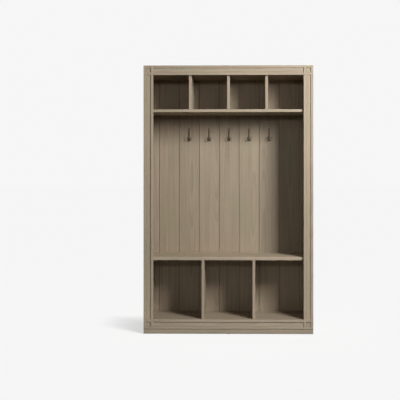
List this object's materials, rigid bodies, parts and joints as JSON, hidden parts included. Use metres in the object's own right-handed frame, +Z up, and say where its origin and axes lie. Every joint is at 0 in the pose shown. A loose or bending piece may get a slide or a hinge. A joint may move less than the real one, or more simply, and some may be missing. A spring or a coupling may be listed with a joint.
{
  "type": "hallway cabinet",
  "caption": "Tall open hall cabinet with a panelled face frame, boot cubbies under a bench, a boarded coat bay with double hooks, and hat cubbies above.",
  "frame": {"origin": "on the floor, under the middle of the cabinet's box", "axes": "+Z up, the open front towards -Y, +X to the right of a person facing the cabinet"},
  "size_m": [1.2, 0.4, 1.9],
  "materials": {
    "painted_timber": "matt taupe paint rubbed thin over open grain",
    "bare_timber": "bare sawn softwood and beech",
    "hook_metal": "dark antique bronze, satin",
    "screw_steel": "yellow zinc",
    "glide_plastic": "moulded"
  },
  "bodies": {
    "root": {"back_board_1": "painted_timber", "back_board_2": "painted_timber", "back_board_3": "painted_timber", "back_board_4": "painted_timber", "back_board_5": "painted_timber", "back_board_6": "painted_timber", "back_board_7": "painted_timber", "back_board_8": "painted_timber", "back_board_9": "painted_timber", "back_screws": "screw_steel", "base_board": "painted_timber", "bench_seat": "painted_timber", "bottom_rail": "painted_timber", "carcass_dowels": "bare_timber", "coat_hook_1": "hook_metal", "coat_hook_2": "hook_metal", "coat_hook_3": "hook_metal", "coat_hook_4": "hook_metal", "coat_hook_5": "hook_metal", "corner_block_bottom_left": "painted_timber", "corner_block_bottom_right": "painted_timber", "corner_block_top_left": "painted_timber", "corner_block_top_right": "painted_timber", "cubby_ceiling": "painted_timber", "floor_glides": "glide_plastic", "frame_dowels": "bare_timber", "hat_shelf": "painted_timber", "hook_screws": "hook_metal", "left_side_panel": "painted_timber", "left_stile": "painted_timber", "lower_divider_left": "painted_timber", "lower_divider_right": "painted_timber", "plinth_block_left": "bare_timber", "plinth_block_middle": "bare_timber", "plinth_block_right": "bare_timber", "plinth_front": "painted_timber", "plinth_rear": "painted_timber", "right_side_panel": "painted_timber", "right_stile": "painted_timber", "top_board": "painted_timber", "top_rail": "painted_timber", "upper_divider_left": "painted_timber", "upper_divider_middle": "painted_timber", "upper_divider_right": "painted_timber"}
  },
  "joints": []
}
